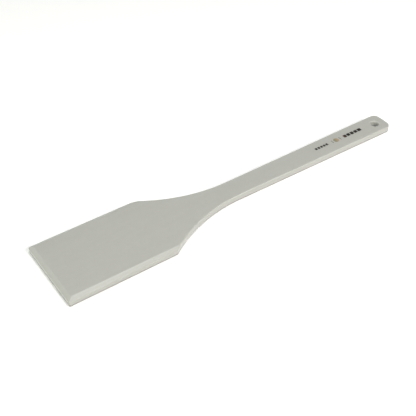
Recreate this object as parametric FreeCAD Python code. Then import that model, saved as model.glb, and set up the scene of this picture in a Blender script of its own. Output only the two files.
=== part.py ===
"""Palette knife: a one-piece moulded spatula with a bevelled blade, a curved neck and a flat handle.

Frame: millimetres, +X from the blade towards the handle end, +Z up. The knife lies on its flat
underside (z = 0) and the origin is the middle of that underside.
Every shape is drawn with X measured from the front edge and moved to the origin when it is saved.
"""

import FreeCAD, Part
import math
import os

# ---- driving dimensions -------------------------------------------------------------------

LENGTH = 305.0              # front edge of the blade to the end of the handle
THICKNESS = 5.7             # of the whole moulding

BLADE_WIDTH = 60.0
BEVEL_WIDTH = 3.0           # how far the bevel round the blade reaches in from its edge
BEVEL_DROP = 1.6            # how far the same bevel falls below the top face
BLADE_CORNER_RADIUS = 1.3   # front corners, seen from above

NECK_END_X = 150.0          # where the curve of the neck runs into the straight handle
NECK_RADIUS = 118.0
NECK_HALF_WIDTH = 8.7       # narrowest half width, at NECK_END_X

HANDLE_END_HALF_WIDTH = 9.7
HANDLE_END_BOW = 0.4        # how far the end of the handle bulges outwards
HANDLE_CORNER_RADIUS = 5.0

TOP_EDGE_RADIUS = 0.8       # round the neck and the handle
BEVEL_EDGE_RADIUS = 2.0     # softened line between the bevel and the top face
BOTTOM_EDGE_RADIUS = 1.0

HOLE_RADIUS = 3.1
HOLE_CENTRE_X = 294.7
HOLE_RIM_RADIUS = 1.3

INK_THICKNESS = 0.06
MARKS_Y = 0.85              # the print sits a little to one side of the handle's centre line
LONG_MARK_START_X = 261.2   # row of dark blocks nearest the hanging hole
LONG_MARK_WIDTH = 3.2
LONG_MARK_BLOCK_LENGTHS = [3.1, 3.1, 3.2, 3.2, 3.7]
LONG_MARK_GAP = 0.65
BADGE_CENTRE_X = 253.3      # round badge between two short bars
BADGE_RADIUS = 2.4
BADGE_BAR_LENGTH = 3.4
BADGE_BAR_WIDTH = 0.5
BADGE_BAR_REACH = 4.1       # badge centre to the middle of either bar
SHORT_MARK_START_X = 231.2  # row of small dark blocks nearest the blade
SHORT_MARK_WIDTH = 2.4
SHORT_MARK_BLOCK_LENGTH = 2.1
SHORT_MARK_BLOCKS = 5
SHORT_MARK_GAP = 0.65

# ---- worked-out places --------------------------------------------------------------------

HALF_BLADE = BLADE_WIDTH / 2
LAND_HEIGHT = THICKNESS - BEVEL_DROP
TOLERANCE = 1e-3


def handle_slope():
    """Angle between one side of the handle and the X axis."""
    return math.atan2(HANDLE_END_HALF_WIDTH - NECK_HALF_WIDTH, LENGTH - NECK_END_X)


def neck_point(angle):
    """Point of the neck's curve on the +Y side, at an angle back from where it meets the handle."""
    turn = handle_slope()
    centre_x = NECK_END_X - NECK_RADIUS * math.sin(turn)
    centre_y = NECK_HALF_WIDTH + NECK_RADIUS * math.cos(turn)
    x = centre_x + NECK_RADIUS * math.sin(turn - angle)
    y = centre_y - NECK_RADIUS * math.cos(turn - angle)
    return FreeCAD.Vector(x, y, 0)


def shoulder_angle():
    """Angle of neck_point at which the curve reaches the side of the blade."""
    turn = handle_slope()
    rise = NECK_HALF_WIDTH + NECK_RADIUS * math.cos(turn) - HALF_BLADE
    return turn + math.acos(rise / NECK_RADIUS)


def mirrored(point):
    return FreeCAD.Vector(point.x, -point.y, point.z)


# ---- the moulding -------------------------------------------------------------------------

def plan_outline():
    """Closed outline of the knife seen from above: blade, neck, handle and bowed end."""
    front = FreeCAD.Vector(0, HALF_BLADE, 0)
    shoulder = neck_point(shoulder_angle())
    neck_middle = neck_point(shoulder_angle() / 2)
    neck_end = neck_point(0)
    handle_end = FreeCAD.Vector(LENGTH - HANDLE_END_BOW, HANDLE_END_HALF_WIDTH, 0)
    end_middle = FreeCAD.Vector(LENGTH, 0, 0)
    edges = [
        Part.makeLine(front, shoulder),
        Part.Arc(shoulder, neck_middle, neck_end).toShape(),
        Part.makeLine(neck_end, handle_end),
        Part.Arc(handle_end, end_middle, mirrored(handle_end)).toShape(),
        Part.makeLine(mirrored(handle_end), mirrored(neck_end)),
        Part.Arc(mirrored(neck_end), mirrored(neck_middle), mirrored(shoulder)).toShape(),
        Part.makeLine(mirrored(shoulder), mirrored(front)),
        Part.makeLine(mirrored(front), front),
    ]
    return Part.Wire(edges)


def is_upright(edge):
    low, high = edge.BoundBox.ZMin, edge.BoundBox.ZMax
    return edge.BoundBox.XLength < TOLERANCE and edge.BoundBox.YLength < TOLERANCE and high > low


def upright_edges(solid, near_x):
    """Upright edges of the solid that stand within a millimetre of one X."""
    return [e for e in solid.Edges if is_upright(e) and abs(e.CenterOfMass.x - near_x) < 1.0]


def bevelled_section(half_width, axis):
    """Upright section with a land, a bevel and a softened upper line on both sides, as a face.

    Its width runs along the given horizontal direction and its middle is on the origin.
    """
    def place(across, height):
        return axis * across + FreeCAD.Vector(0, 0, height)

    bevel_angle = math.atan2(BEVEL_DROP, BEVEL_WIDTH)
    softening = BEVEL_EDGE_RADIUS * math.tan(bevel_angle / 2)
    flat_half = half_width - BEVEL_WIDTH
    arc_start = (
        flat_half + softening * math.cos(bevel_angle),
        THICKNESS - softening * math.sin(bevel_angle),
    )
    arc_end = (flat_half - softening, THICKNESS)
    arc_middle = (
        arc_end[0] + BEVEL_EDGE_RADIUS * math.sin(bevel_angle / 2),
        THICKNESS - BEVEL_EDGE_RADIUS * (1 - math.cos(bevel_angle / 2)),
    )
    edges = [Part.makeLine(place(-half_width, 0), place(half_width, 0))]
    for side in (1, -1):
        foot = place(side * half_width, 0)
        land_top = place(side * half_width, LAND_HEIGHT)
        start, middle, end = (place(side * p[0], p[1]) for p in (arc_start, arc_middle, arc_end))
        edges.append(Part.makeLine(foot, land_top))
        edges.append(Part.makeLine(land_top, start))
        edges.append(Part.Arc(start, middle, end).toShape())
    edges.append(Part.makeLine(place(arc_end[0], THICKNESS), place(-arc_end[0], THICKNESS)))
    return Part.Face(Part.Wire(Part.__sortEdges__(edges)))


def blade_envelope():
    """Block with the bevelled front and sides of the blade, long enough to hold the whole knife."""
    along, across = FreeCAD.Vector(1, 0, 0), FreeCAD.Vector(0, 1, 0)
    sides = bevelled_section(HALF_BLADE, across).extrude(along * 2 * LENGTH)
    front = bevelled_section(LENGTH, along).extrude(across * 2 * BLADE_WIDTH)
    front.translate(FreeCAD.Vector(LENGTH, -BLADE_WIDTH, 0))
    return sides.common(front)


def upper_edges(solid, from_x):
    """Edges above the land, other than upright ones, whose middle is beyond one X."""
    found = []
    for edge in solid.Edges:
        middle = edge.CenterOfMass
        if middle.z > LAND_HEIGHT and middle.x > from_x and not is_upright(edge):
            found.append(edge)
    return found


def bottom_edges(solid):
    return [edge for edge in solid.Edges if edge.BoundBox.ZMax < TOLERANCE]


def hanging_hole():
    """Through hole with a rounded rim at the top and the bottom, as one cutting solid."""
    rim = HOLE_RIM_RADIUS
    mouth = HOLE_RADIUS + rim
    quarter = rim * (1 - math.sqrt(0.5))
    profile = Part.Wire([
        Part.makeLine(FreeCAD.Vector(0, 0, 0), FreeCAD.Vector(mouth, 0, 0)),
        Part.Arc(
            FreeCAD.Vector(mouth, 0, 0),
            FreeCAD.Vector(HOLE_RADIUS + quarter, 0, quarter),
            FreeCAD.Vector(HOLE_RADIUS, 0, rim),
        ).toShape(),
        Part.makeLine(
            FreeCAD.Vector(HOLE_RADIUS, 0, rim),
            FreeCAD.Vector(HOLE_RADIUS, 0, THICKNESS - rim),
        ),
        Part.Arc(
            FreeCAD.Vector(HOLE_RADIUS, 0, THICKNESS - rim),
            FreeCAD.Vector(HOLE_RADIUS + quarter, 0, THICKNESS - quarter),
            FreeCAD.Vector(mouth, 0, THICKNESS),
        ).toShape(),
        Part.makeLine(FreeCAD.Vector(mouth, 0, THICKNESS), FreeCAD.Vector(0, 0, THICKNESS)),
        Part.makeLine(FreeCAD.Vector(0, 0, THICKNESS), FreeCAD.Vector(0, 0, 0)),
    ])
    hole = Part.Face(profile).revolve(FreeCAD.Vector(0, 0, 0), FreeCAD.Vector(0, 0, 1), 360)
    hole.translate(FreeCAD.Vector(HOLE_CENTRE_X, 0, 0))
    return hole


def make_body():
    """The whole knife body, moulded in one piece."""
    body = Part.Face(plan_outline()).extrude(FreeCAD.Vector(0, 0, THICKNESS))
    body = body.makeFillet(BLADE_CORNER_RADIUS, upright_edges(body, 0))
    body = body.makeFillet(HANDLE_CORNER_RADIUS, upright_edges(body, LENGTH - HANDLE_END_BOW))
    body = body.common(blade_envelope())
    body = body.makeFillet(TOP_EDGE_RADIUS, upper_edges(body, neck_point(shoulder_angle()).x))
    body = body.makeFillet(BOTTOM_EDGE_RADIUS, bottom_edges(body))
    return body.cut(hanging_hole())


# ---- the printed marks --------------------------------------------------------------------

def ink_block(start_x, length, width):
    """Thin rectangle of ink on the top face, centred on the line of the marks."""
    corner = FreeCAD.Vector(start_x, MARKS_Y - width / 2, THICKNESS)
    return Part.makeBox(length, width, INK_THICKNESS, corner)


def ink_row(start_x, lengths, gap, width):
    """Row of separate ink blocks along the handle."""
    blocks = []
    x = start_x
    for length in lengths:
        blocks.append(ink_block(x, length, width))
        x += length + gap
    return Part.makeCompound(blocks)


def make_long_mark():
    return ink_row(LONG_MARK_START_X, LONG_MARK_BLOCK_LENGTHS, LONG_MARK_GAP, LONG_MARK_WIDTH)


def make_short_mark():
    lengths = [SHORT_MARK_BLOCK_LENGTH] * SHORT_MARK_BLOCKS
    return ink_row(SHORT_MARK_START_X, lengths, SHORT_MARK_GAP, SHORT_MARK_WIDTH)


def make_badge_disc():
    centre = FreeCAD.Vector(BADGE_CENTRE_X, MARKS_Y, THICKNESS)
    return Part.makeCylinder(BADGE_RADIUS, INK_THICKNESS, centre)


def make_badge_bars():
    """The two short bars that stand on either side of the round badge."""
    bars = []
    for side in (-1, 1):
        start_x = BADGE_CENTRE_X + side * BADGE_BAR_REACH - BADGE_BAR_WIDTH / 2
        bars.append(ink_block(start_x, BADGE_BAR_WIDTH, BADGE_BAR_LENGTH))
    return Part.makeCompound(bars)


# ---- saving -------------------------------------------------------------------------------

def save(name, shape):
    """Move a shape to the shared frame and write it as parts/name.step."""
    shape.translate(FreeCAD.Vector(-LENGTH / 2, 0, 0))
    shape.exportStep("parts/" + name + ".step")


os.makedirs("parts", exist_ok=True)
save("knife_body", make_body())
save("long_dark_print", make_long_mark())
save("round_badge_print", make_badge_disc())
save("badge_bar_prints", make_badge_bars())
save("short_dark_print", make_short_mark())
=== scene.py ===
"""Looks of the palette knife: satin moulded plastic, printed ink films, a pale floor and soft light.

Metres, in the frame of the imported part: +X from the blade to the handle end, +Z up, underside at z = 0.
"""

import math
import random

import bmesh
import bpy
from mathutils import Matrix, Vector


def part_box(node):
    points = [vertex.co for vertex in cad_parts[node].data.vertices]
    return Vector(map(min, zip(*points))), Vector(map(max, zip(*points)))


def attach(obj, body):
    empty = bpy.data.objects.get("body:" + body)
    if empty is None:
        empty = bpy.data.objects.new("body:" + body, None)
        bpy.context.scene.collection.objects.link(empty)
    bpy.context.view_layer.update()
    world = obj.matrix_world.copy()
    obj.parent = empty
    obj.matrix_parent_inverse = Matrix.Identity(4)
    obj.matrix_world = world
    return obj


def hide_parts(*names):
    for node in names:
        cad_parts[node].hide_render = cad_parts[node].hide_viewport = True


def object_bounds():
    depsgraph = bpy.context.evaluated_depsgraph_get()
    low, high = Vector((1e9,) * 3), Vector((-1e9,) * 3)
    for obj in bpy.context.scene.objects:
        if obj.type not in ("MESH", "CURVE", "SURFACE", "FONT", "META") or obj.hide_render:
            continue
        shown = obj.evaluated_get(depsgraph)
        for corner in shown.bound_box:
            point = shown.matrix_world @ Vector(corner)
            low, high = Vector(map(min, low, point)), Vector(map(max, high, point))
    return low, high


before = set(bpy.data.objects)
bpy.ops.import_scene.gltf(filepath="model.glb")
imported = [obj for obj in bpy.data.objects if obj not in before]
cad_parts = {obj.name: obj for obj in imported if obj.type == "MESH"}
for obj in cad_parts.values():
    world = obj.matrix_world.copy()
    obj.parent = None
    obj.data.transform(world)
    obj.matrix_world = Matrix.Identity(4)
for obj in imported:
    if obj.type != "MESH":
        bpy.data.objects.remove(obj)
cad_low, cad_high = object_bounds()

MM = 0.001
FLOOR_Z = cad_low.z

# ---- colours ------------------------------------------------------------------------------

PLASTIC = (0.400, 0.402, 0.383)
# Paler colour for scratches, which are wear, and for the edges, where it is partly wear and partly a
# painted highlight.
PLASTIC_WORN_AND_HIGHLIT = (0.49, 0.49, 0.46)
DARK_INK = (0.010, 0.007, 0.004)
RED_INK = (0.085, 0.028, 0.016)
SMALL_DARK_INK = (0.022, 0.016, 0.011)
TAN_INK = (0.360, 0.270, 0.175)
OLIVE_INK = (0.220, 0.215, 0.145)
GREY_INK = (0.120, 0.118, 0.100)
FLOOR = (0.90, 0.90, 0.90)
WHITE = (1.0, 1.0, 1.0)


# ---- node helpers -------------------------------------------------------------------------

MOST_OF_NOISE = (0.3, 0.7)          # range that nearly all of a cloudy noise stays in
MOST_OF_FINE_NOISE = (0.25, 0.75)   # the same for a noise with much fine detail


class Graph:
    """A material's node tree, with a short method for each kind of node that is used often."""

    def __init__(self, name):
        self.material = bpy.data.materials.new(name)
        self.material.use_nodes = True
        self.nodes = self.material.node_tree.nodes
        self.links = self.material.node_tree.links
        self.shader = self.nodes["Principled BSDF"]
        self.place = self.nodes.new("ShaderNodeTexCoord").outputs["Object"]

    def feed(self, socket, value):
        """Give a socket a link or a constant."""
        if isinstance(value, bpy.types.NodeSocket):
            self.links.new(value, socket)
        else:
            socket.default_value = value

    def maths(self, operation, first, second):
        """Sum, product or the like of two values; either may be a constant."""
        node = self.nodes.new("ShaderNodeMath")
        node.operation = operation
        self.feed(node.inputs[0], first)
        self.feed(node.inputs[1], second)
        return node.outputs["Value"]

    def stretched(self, turn, stretch):
        """Coordinates squeezed along X, so that patterns run long that way, then turned about Z.

        Turning them last leaves the patterns' direction alone and only picks a different pattern.
        """
        node = self.nodes.new("ShaderNodeMapping")
        node.inputs["Rotation"].default_value = (0.0, 0.0, turn)
        node.inputs["Scale"].default_value = (1.0 / stretch, 1.0, 1.0)
        self.links.new(self.place, node.inputs["Vector"])
        return node.outputs["Vector"]

    def noise(self, size, detail=3.0, roughness=0.55, vector=None):
        """Cloudy noise from 0 to 1 whose blobs are about as big as size, in metres."""
        node = self.nodes.new("ShaderNodeTexNoise")
        node.inputs["Scale"].default_value = 1.0 / size
        node.inputs["Detail"].default_value = detail
        node.inputs["Roughness"].default_value = roughness
        self.links.new(vector or self.place, node.inputs["Vector"])
        return node.outputs["Fac"]

    def between(self, value, low, high, to_low=0.0, to_high=1.0):
        """Map low..high to to_low..to_high, clamped at both ends."""
        node = self.nodes.new("ShaderNodeMapRange")
        node.inputs["From Min"].default_value = low
        node.inputs["From Max"].default_value = high
        node.inputs["To Min"].default_value = to_low
        node.inputs["To Max"].default_value = to_high
        self.links.new(value, node.inputs["Value"])
        return node.outputs["Result"]

    def mix(self, share, first, second):
        """Blend of two colours; either may be a constant."""
        node = self.nodes.new("ShaderNodeMix")
        node.data_type = "RGBA"
        self.feed(node.inputs["Factor"], share)
        for socket, colour in ((node.inputs["A"], first), (node.inputs["B"], second)):
            self.feed(socket, colour if isinstance(colour, bpy.types.NodeSocket) else (*colour, 1.0))
        return node.outputs["Result"]

    def brightened(self, colour, factor):
        """Colour times a grey factor."""
        node = self.nodes.new("ShaderNodeVectorMath")
        node.operation = "SCALE"
        self.feed(node.inputs["Vector"], colour)
        self.feed(node.inputs["Scale"], factor)
        return node.outputs["Vector"]

    def bump(self, height, depth, normal=None):
        """Normal bent by a height from 0 to 1 that stands for the given depth, in metres."""
        node = self.nodes.new("ShaderNodeBump")
        node.inputs["Distance"].default_value = depth
        self.links.new(height, node.inputs["Height"])
        if normal is not None:
            self.links.new(normal, node.inputs["Normal"])
        return node.outputs["Normal"]


# ---- body plastic -------------------------------------------------------------------------

PLASTIC_IOR = 1.49
PLASTIC_ROUGHNESS = (0.31, 0.38)

GRAIN_SIZE = 0.45 * MM
GRAIN_DEPTH = 0.018 * MM
GRAIN_TONE = (0.965, 1.035)         # darkest and lightest share of the colour
MOTTLE_SIZE = 3.5 * MM
MOTTLE_TONE = (0.985, 1.015)
FLOW_SIZE = 5 * MM                  # width of the faint flow marks along the knife
FLOW_STRETCH = 12.0
FLOW_TONE = (0.99, 1.01)

SCRATCH_SETS = (                    # turn of the noise, width, noise level where a scratch starts
    (math.radians(8), 0.35 * MM, 0.70),
    (math.radians(-37), 0.30 * MM, 0.71),
)
SCRATCH_STRETCH = 90.0
SCRATCH_RISE = 0.05                 # rise in the noise from a scratch's side to its full depth
SCRATCH_DEPTH = 0.012 * MM
SCRATCH_PALENESS = 0.35
SCRATCH_ROUGHNESS = 0.12            # added to the plastic's own
SCRATCHED_PATCH_SIZE = 14 * MM
SCRATCHED_PATCHES = (0.50, 0.62)    # noise levels from unscratched to fully scratched

# Paler edges: partly edge wear, partly a painted highlight along the edges.
RUBBED_AND_HIGHLIT_WIDTH = 0.45 * MM            # width of the paler strip along an edge, partly edge wear and partly a painted highlight
RUBBED_AND_HIGHLIT_PATCHES = (0.40, 0.65)       # noise levels from an untouched edge to a fully pale one
RUBBED_AND_HIGHLIT_PALENESS = 0.6
EDGE_SAMPLES = 4
EDGE_COSINES = (0.995, 0.90)        # between true and rounded normal, from off an edge to right on it

# Painted shade on the lower rounded edges, darkening the plastic near the floor.
FOOT_SHADE_HEIGHTS = (1.9 * MM, 0.8 * MM)    # from the top of the painted shade down to where it is full
FOOT_SHADE_NORMALS = (-0.97, -0.85)          # Z of the normal, from the unshaded underside to clear of it
FOOT_SHADE_SHARE = (0.32, 0.46)              # share of the plastic's brightness that the painted shade takes away


def edge_mask(graph, radius):
    """1 along sharp convex and concave edges, falling to 0 one radius away from them."""
    rounded = graph.nodes.new("ShaderNodeBevel")
    rounded.samples = EDGE_SAMPLES
    rounded.inputs["Radius"].default_value = radius
    flat = graph.nodes.new("ShaderNodeNewGeometry")
    alike = graph.nodes.new("ShaderNodeVectorMath")
    alike.operation = "DOT_PRODUCT"
    graph.links.new(rounded.outputs["Normal"], alike.inputs[0])
    graph.links.new(flat.outputs["Normal"], alike.inputs[1])
    return graph.between(alike.outputs["Value"], *EDGE_COSINES)


def scratches(graph, turn, width, level):
    """Thin straight marks along the knife: 1 inside a mark and 0 elsewhere."""
    lines = graph.noise(width, detail=1.0, vector=graph.stretched(turn, SCRATCH_STRETCH))
    patches = graph.noise(SCRATCHED_PATCH_SIZE, detail=2.0)
    crest = graph.between(lines, level, level + SCRATCH_RISE)
    return graph.maths("MULTIPLY", crest, graph.between(patches, *SCRATCHED_PATCHES))


def painted_foot_shade_mask(graph):
    """1 on the lower rounded edges, where shade is painted, and 0 on the underside and above."""
    height = graph.nodes.new("ShaderNodeSeparateXYZ")
    graph.links.new(graph.place, height.inputs["Vector"])
    facing = graph.nodes.new("ShaderNodeSeparateXYZ")
    surface = graph.nodes.new("ShaderNodeNewGeometry")
    graph.links.new(surface.outputs["Normal"], facing.inputs["Vector"])
    low_down = graph.between(height.outputs["Z"], *FOOT_SHADE_HEIGHTS)
    not_under = graph.between(facing.outputs["Z"], *FOOT_SHADE_NORMALS)
    return graph.maths("MULTIPLY", low_down, not_under)


def plastic_material():
    """Satin moulded plastic with a fine grain, faint flow marks, light scratches, paler edges that are
    partly edge wear and partly a painted highlight, and painted shade along the lower edges.
    """
    graph = Graph("body_plastic")
    grain = graph.noise(GRAIN_SIZE, detail=4.0, roughness=0.65)
    mottle = graph.noise(MOTTLE_SIZE, detail=3.0)
    flow = graph.noise(FLOW_SIZE, detail=2.0, vector=graph.stretched(0.0, FLOW_STRETCH))
    first_set, second_set = SCRATCH_SETS
    scratch = graph.maths("MAXIMUM", scratches(graph, *first_set), scratches(graph, *second_set))
    # Paler edges, partly edge wear and partly a painted highlight, in mottled patches.
    edges = edge_mask(graph, RUBBED_AND_HIGHLIT_WIDTH)
    rubbed_and_highlit = graph.maths("MULTIPLY", edges, graph.between(mottle, *RUBBED_AND_HIGHLIT_PATCHES))
    # Painted shade along the lower rounded edges, with a mottled strength.
    foot_shade_strength = graph.between(mottle, *MOST_OF_NOISE, *FOOT_SHADE_SHARE)
    painted_foot_shade = graph.maths("MULTIPLY", painted_foot_shade_mask(graph), foot_shade_strength)

    tone = graph.between(grain, *MOST_OF_FINE_NOISE, *GRAIN_TONE)
    for noise, swing in ((mottle, MOTTLE_TONE), (flow, FLOW_TONE)):
        tone = graph.maths("MULTIPLY", tone, graph.between(noise, *MOST_OF_NOISE, *swing))
    # The painted foot shade darkens the tone here.
    tone = graph.maths("MULTIPLY", tone, graph.maths("SUBTRACT", 1.0, painted_foot_shade))
    pale_scratch = graph.maths("MULTIPLY", scratch, SCRATCH_PALENESS)
    pale_edge_and_highlight = graph.maths("MULTIPLY", rubbed_and_highlit, RUBBED_AND_HIGHLIT_PALENESS)
    worn_and_highlit = graph.maths("MAXIMUM", pale_scratch, pale_edge_and_highlight)
    colour = graph.mix(worn_and_highlit, PLASTIC, PLASTIC_WORN_AND_HIGHLIT)
    graph.links.new(graph.brightened(colour, tone), graph.shader.inputs["Base Color"])

    roughness = graph.between(mottle, *MOST_OF_NOISE, *PLASTIC_ROUGHNESS)
    roughness = graph.maths("ADD", roughness, graph.maths("MULTIPLY", scratch, SCRATCH_ROUGHNESS))
    graph.links.new(roughness, graph.shader.inputs["Roughness"])

    normal = graph.bump(grain, GRAIN_DEPTH)
    normal = graph.bump(graph.maths("SUBTRACT", 1.0, scratch), SCRATCH_DEPTH, normal)
    graph.links.new(normal, graph.shader.inputs["Normal"])
    graph.shader.inputs["IOR"].default_value = PLASTIC_IOR
    return graph.material


# ---- ink films ----------------------------------------------------------------------------

SPECKLE_SIZE = 0.35 * MM
SPECKLE_DEPTH = 0.010 * MM
INK_TONE = (0.85, 1.15)             # darkest and lightest share of the ink's colour
PATCH_SIZE = 1.6 * MM
INK_ROUGHNESS = (0.42, 0.58)
PINHOLE_LEVELS = (0.60, 0.74)       # speckle from full ink to the middle of a pinhole
PINHOLE_PATCHES = (0.40, 0.70)      # patch from no pinholes to all of them
PINHOLE_PALENESS = 0.35

RED_TINT_FULL = 0.3 * MM            # distances from the start of the long mark
RED_TINT_GONE = 1.8 * MM
DARKER_START_LENGTH = 2.5 * MM      # length of the darker start of the short mark
BADGE_PLAIN_END = 1.2 * MM          # length of each end of the badge that has one plain colour

OUTLINE_STEPS = 48
WELD_DISTANCE = 0.001 * MM          # corners closer than this count as one
FILM_SHOULDER = 0.5                 # share of the film's height below its softened upper edge
FILM_SOFTENING = 0.03               # share by which the upper edge draws in towards the film's middle


def ink_material(name, ink, accent, accent_from, accent_to):
    """Printed ink with pale pinholes; it turns into the accent colour between two places along X."""
    graph = Graph(name)
    speckle = graph.noise(SPECKLE_SIZE, detail=4.0, roughness=0.7)
    patch = graph.noise(PATCH_SIZE, detail=2.0)
    along = graph.nodes.new("ShaderNodeSeparateXYZ")
    graph.links.new(graph.place, along.inputs["Vector"])
    share = graph.between(along.outputs["X"], accent_from, accent_to)
    colour = graph.mix(share, ink, accent)
    pinholes = graph.between(speckle, *PINHOLE_LEVELS)
    thin = graph.maths("MULTIPLY", pinholes, graph.between(patch, *PINHOLE_PATCHES))
    colour = graph.mix(graph.maths("MULTIPLY", thin, PINHOLE_PALENESS), colour, PLASTIC)
    tone = graph.between(speckle, *MOST_OF_FINE_NOISE, *INK_TONE)
    graph.links.new(graph.brightened(colour, tone), graph.shader.inputs["Base Color"])
    roughness = graph.between(patch, *MOST_OF_NOISE, *INK_ROUGHNESS)
    graph.links.new(roughness, graph.shader.inputs["Roughness"])
    graph.links.new(graph.bump(speckle, SPECKLE_DEPTH), graph.shader.inputs["Normal"])
    return graph.material


def island_boxes(node):
    """Boxes (low, high) of the separate solids of a CAD node, in order along X."""
    mesh = bmesh.new()
    mesh.from_mesh(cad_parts[node].data)
    bmesh.ops.remove_doubles(mesh, verts=mesh.verts, dist=WELD_DISTANCE)
    boxes = []
    waiting = set(mesh.verts)
    while waiting:
        island = {waiting.pop()}
        edge_of_island = list(island)
        while edge_of_island:
            vertex = edge_of_island.pop()
            for link in vertex.link_edges:
                other = link.other_vert(vertex)
                if other in waiting:
                    waiting.remove(other)
                    island.add(other)
                    edge_of_island.append(other)
        low = Vector(min(v.co[axis] for v in island) for axis in range(3))
        high = Vector(max(v.co[axis] for v in island) for axis in range(3))
        boxes.append((low, high))
    mesh.free()
    return sorted(boxes, key=lambda box: box[0].x)


def rounded_outline(low, high, radius, roughness, chance):
    """Closed outline that fills a box seen from above, with round corners and an uneven printed edge.

    The edge only ever wanders inwards, by up to the given roughness.
    """
    middle = (low + high) / 2
    half_x = (high.x - low.x) / 2 - radius
    half_y = (high.y - low.y) / 2 - radius
    points = []
    for step in range(OUTLINE_STEPS):
        angle = 2 * math.pi * step / OUTLINE_STEPS
        reach = radius - roughness * chance.random()
        corner_x = math.copysign(half_x, math.cos(angle))
        corner_y = math.copysign(half_y, math.sin(angle))
        points.append((
            middle.x + corner_x + reach * math.cos(angle),
            middle.y + corner_y + reach * math.sin(angle),
        ))
    return points


def add_film(mesh, outline, low_z, high_z):
    """Add one closed ink film: an upright foot, a softened upper edge and two caps."""
    centre_x = sum(x for x, y in outline) / len(outline)
    centre_y = sum(y for x, y in outline) / len(outline)
    shoulder_z = low_z + (high_z - low_z) * FILM_SHOULDER
    rings = []
    for height, share in ((low_z, 1.0), (shoulder_z, 1.0), (high_z, 1.0 - FILM_SOFTENING)):
        ring = []
        for x, y in outline:
            place = (centre_x + (x - centre_x) * share, centre_y + (y - centre_y) * share, height)
            ring.append(mesh.verts.new(place))
        rings.append(ring)
    for lower, upper in zip(rings, rings[1:]):
        for index in range(len(outline)):
            after = (index + 1) % len(outline)
            mesh.faces.new((lower[index], lower[after], upper[after], upper[index]))
    mesh.faces.new(list(reversed(rings[0])))
    mesh.faces.new(rings[-1])


def make_films(name, node, material, corner, roughness, seed):
    """Ink films that stand for one CAD node, one film for each of its solids.

    A corner radius that is too large for a film is cut down to one that fits and makes its ends round.
    """
    chance = random.Random(seed)
    mesh = bmesh.new()
    for low, high in island_boxes(node):
        largest_corner = min(high.x - low.x, high.y - low.y) / 2
        outline = rounded_outline(low, high, min(corner, largest_corner), roughness, chance)
        add_film(mesh, outline, low.z, high.z)
    data = bpy.data.meshes.new(name)
    mesh.to_mesh(data)
    mesh.free()
    data.materials.append(material)
    film = bpy.data.objects.new(name, data)
    bpy.context.scene.collection.objects.link(film)
    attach(film, "root")
    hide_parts(node)


def dress(node, material):
    """Show a CAD node in one material."""
    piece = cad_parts[node]
    piece.data.materials.clear()
    piece.data.materials.append(material)


dress("knife_body", plastic_material())

long_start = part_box("long_dark_print")[0].x
dark = ink_material("dark_ink", DARK_INK, RED_INK, long_start + RED_TINT_GONE, long_start + RED_TINT_FULL)
make_films(
    "long_dark_mark", "long_dark_print", dark,
    corner=0.5 * MM, roughness=0.12 * MM, seed=1,
)

short_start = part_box("short_dark_print")[0].x
short_dark = ink_material(
    "small_dark_ink", SMALL_DARK_INK, DARK_INK, short_start + DARKER_START_LENGTH, short_start,
)
make_films(
    "short_dark_mark", "short_dark_print", short_dark,
    corner=0.4 * MM, roughness=0.10 * MM, seed=2,
)

badge_low, badge_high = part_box("round_badge_print")
badge_width = badge_high.x - badge_low.x
tan = ink_material(
    "tan_ink", OLIVE_INK, TAN_INK, badge_low.x + BADGE_PLAIN_END, badge_high.x - BADGE_PLAIN_END,
)
make_films(
    "round_badge", "round_badge_print", tan,
    corner=badge_width, roughness=0.10 * MM, seed=3,
)

grey = ink_material("grey_ink", GREY_INK, GREY_INK, badge_low.x, badge_high.x)
make_films(
    "badge_bars", "badge_bar_prints", grey,
    corner=0.25 * MM, roughness=0.03 * MM, seed=4,
)


# ---- floor, light and camera --------------------------------------------------------------

FLOOR_HALF_SIZE = 20.0
FLOOR_ROUGHNESS = 0.8
FLOOR_GLOW = 0.15               # the floor is a pale sheet with a faint glow of its own
FAR_FLOOR_GLOW = 0.90           # beyond the reach of the lamps, and in the backdrop
GLOW_RISE_FROM = 0.6            # distances from the origin between which the glow rises
GLOW_RISE_TO = 2.0
BACKDROP_TOP = 0.15             # sine of the elevation at which the pale band has faded out
LAMP_DISTANCE = 1.2
LAMPS = (                       # name, azimuth, elevation, size, power in watts, colour
    ("overhead", 0.0, 89.9, 0.90, 9.7, (0.98, 1.0, 0.99)),
    ("near_key", 0.0, 35.0, 0.30, 7.0, (1.0, 0.97, 0.89)),
    ("near_right_key", 33.0, 38.0, 0.22, 5.8, (1.0, 0.97, 0.92)),
    ("left", -90.0, 16.0, 0.70, 5.0, (1.0, 1.0, 0.78)),
    ("far_left", 215.0, 35.0, 0.70, 1.8, (0.9, 0.95, 1.0)),
)

CAMERA_AZIMUTH = math.radians(-35.785)
CAMERA_ELEVATION = math.radians(41.752)
CAMERA_ROLL = math.radians(0.801)
CAMERA_DISTANCE = 0.538919
CAMERA_AIM = Vector((-0.026605, -0.0024, 0.0))
CAMERA_LENS = 64.296            # millimetres
CAMERA_SENSOR = 36.0            # width in millimetres


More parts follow.
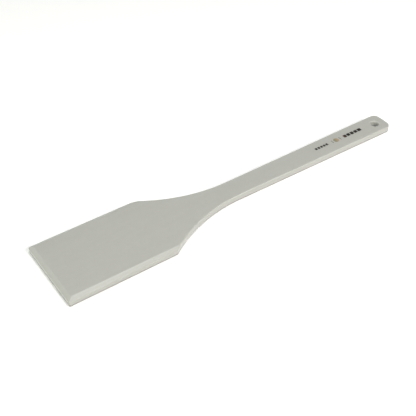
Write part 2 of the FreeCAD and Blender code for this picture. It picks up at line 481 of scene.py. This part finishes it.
def make_floor():
    """Wide pale sheet under the knife whose own glow rises where the lamps no longer reach."""
    graph = Graph("floor_sheet")
    graph.shader.inputs["Base Color"].default_value = (*FLOOR, 1.0)
    graph.shader.inputs["Roughness"].default_value = FLOOR_ROUGHNESS
    graph.shader.inputs["Emission Color"].default_value = (*WHITE, 1.0)
    distance = graph.nodes.new("ShaderNodeVectorMath")
    distance.operation = "LENGTH"
    graph.links.new(graph.place, distance.inputs[0])
    rise = (GLOW_RISE_FROM, GLOW_RISE_TO)
    glow = graph.between(distance.outputs["Value"], *rise, FLOOR_GLOW, FAR_FLOOR_GLOW)
    graph.links.new(glow, graph.shader.inputs["Emission Strength"])
    mesh = bpy.data.meshes.new("floor")
    signs = ((-1, -1), (1, -1), (1, 1), (-1, 1))
    corners = [(x * FLOOR_HALF_SIZE, y * FLOOR_HALF_SIZE, FLOOR_Z) for x, y in signs]
    mesh.from_pydata(corners, [], [(0, 1, 2, 3)])
    mesh.materials.append(graph.material)
    floor = bpy.data.objects.new("floor", mesh)
    bpy.context.scene.collection.objects.link(floor)


def make_backdrop():
    """Surroundings that are pale up to the horizon and fade out in a band above it.

    A world's Generated coordinates are the direction that is looked in, so their Z is a sine.
    """
    world = bpy.data.worlds.new("backdrop")
    world.use_nodes = True
    nodes, links = world.node_tree.nodes, world.node_tree.links
    split = nodes.new("ShaderNodeSeparateXYZ")
    links.new(nodes.new("ShaderNodeTexCoord").outputs["Generated"], split.inputs["Vector"])
    fade = nodes.new("ShaderNodeMapRange")
    fade.inputs["From Min"].default_value = BACKDROP_TOP
    fade.inputs["From Max"].default_value = 0.0
    fade.inputs["To Max"].default_value = FAR_FLOOR_GLOW
    links.new(split.outputs["Z"], fade.inputs["Value"])
    links.new(fade.outputs["Result"], nodes["Background"].inputs["Strength"])
    nodes["Background"].inputs["Color"].default_value = (*WHITE, 1.0)
    bpy.context.scene.world = world


def direction(azimuth, elevation):
    """Unit vector towards a viewpoint; azimuth 0 looks along +Y, so its viewpoint is on the -Y side."""
    flat = math.cos(elevation)
    return Vector((math.sin(azimuth) * flat, -math.cos(azimuth) * flat, math.sin(elevation)))


def make_lamp(name, azimuth, elevation, size, power, colour):
    """Soft square lamp aimed at the origin, seen from there at an azimuth and elevation in degrees."""
    lamp = bpy.data.lights.new(name, "AREA")
    lamp.size = size
    lamp.energy = power
    lamp.color = colour
    holder = bpy.data.objects.new(name, lamp)
    bpy.context.scene.collection.objects.link(holder)
    towards = direction(math.radians(azimuth), math.radians(elevation))
    holder.location = towards * LAMP_DISTANCE
    holder.rotation_euler = towards.to_track_quat("Z", "Y").to_euler()


def make_camera():
    """Camera aimed at a point of the floor, then rolled a little about its own line of sight."""
    back = direction(CAMERA_AZIMUTH, CAMERA_ELEVATION)
    right = Vector((math.cos(CAMERA_AZIMUTH), math.sin(CAMERA_AZIMUTH), 0.0))
    up = back.cross(right)
    turned_right = math.cos(CAMERA_ROLL) * right + math.sin(CAMERA_ROLL) * up
    turned_up = math.cos(CAMERA_ROLL) * up - math.sin(CAMERA_ROLL) * right
    pose = Matrix((turned_right, turned_up, back)).transposed().to_4x4()
    pose.translation = CAMERA_AIM + back * CAMERA_DISTANCE
    lens = bpy.data.cameras.new("camera")
    lens.sensor_width = CAMERA_SENSOR
    lens.lens = CAMERA_LENS
    camera = bpy.data.objects.new("camera", lens)
    camera.matrix_world = pose
    bpy.context.scene.collection.objects.link(camera)
    bpy.context.scene.camera = camera


make_floor()
make_backdrop()
for lamp_values in LAMPS:
    make_lamp(*lamp_values)
make_camera()
# The plain view transform leaves the colours as they are, with no film curve.
bpy.context.scene.view_settings.view_transform = "Standard"
